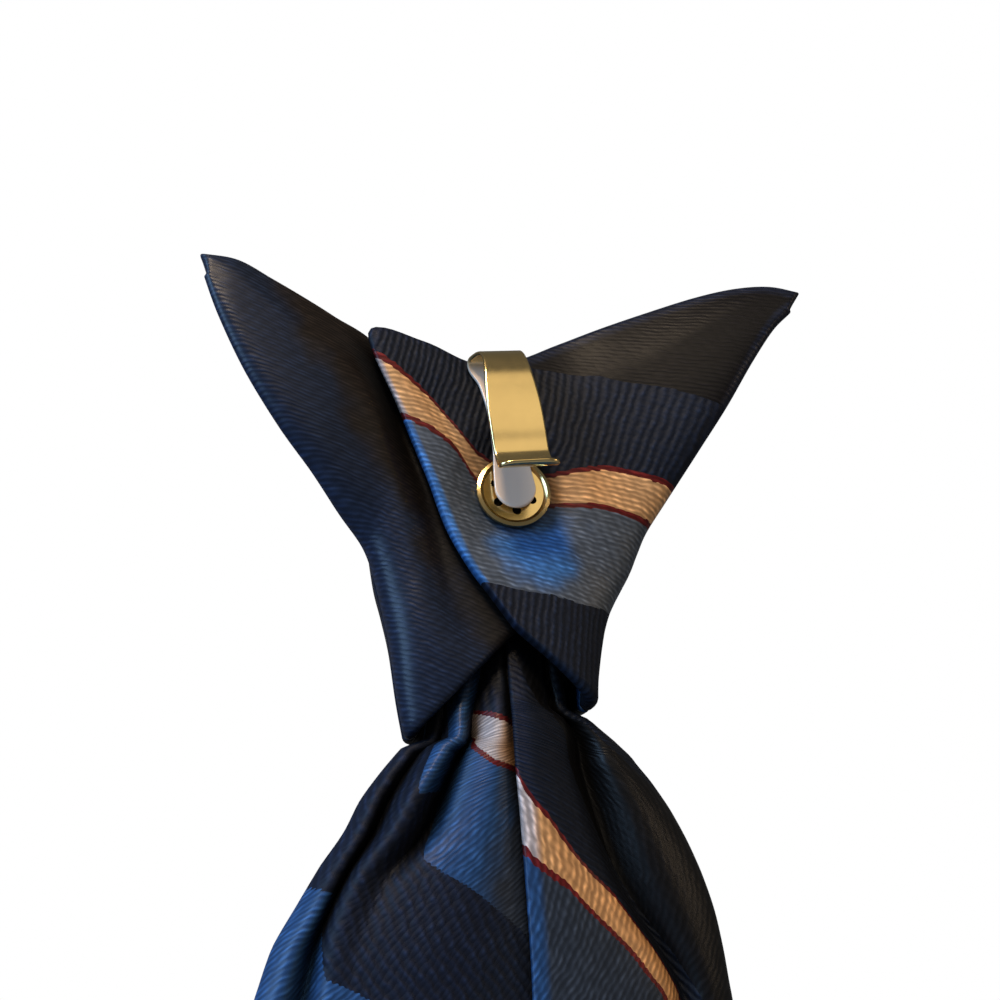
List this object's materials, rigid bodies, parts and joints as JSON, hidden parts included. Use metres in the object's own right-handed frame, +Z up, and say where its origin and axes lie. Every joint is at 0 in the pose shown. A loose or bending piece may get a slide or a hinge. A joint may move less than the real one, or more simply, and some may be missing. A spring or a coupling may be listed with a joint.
{
  "type": "clip on tie",
  "caption": "Ready-knotted necktie with regimental stripes, collar wings and a gold spring clip on the back of its knot.",
  "frame": {"origin": "in the clip's slot, midway between tongue and leaf, where the collar's edge hangs", "axes": "+Z up along the tie, -Y towards the back of the knot and the clip, +X to the right when looking at the back"},
  "size_m": [0.0853, 0.031, 0.5228],
  "materials": {
    "navy_satin": "plain navy satin with a fine twill",
    "striped_cloth": "navy rib and satin with blue, cream and thin red stripes",
    "gold_metal": "polished, pale gold"
  },
  "bodies": {
    "root": {"right_band": "striped_cloth", "left_band": "navy_satin", "knot_front": "striped_cloth", "blade": "striped_cloth", "clip_strip": "gold_metal", "clip_washer": "gold_metal"}
  },
  "joints": []
}
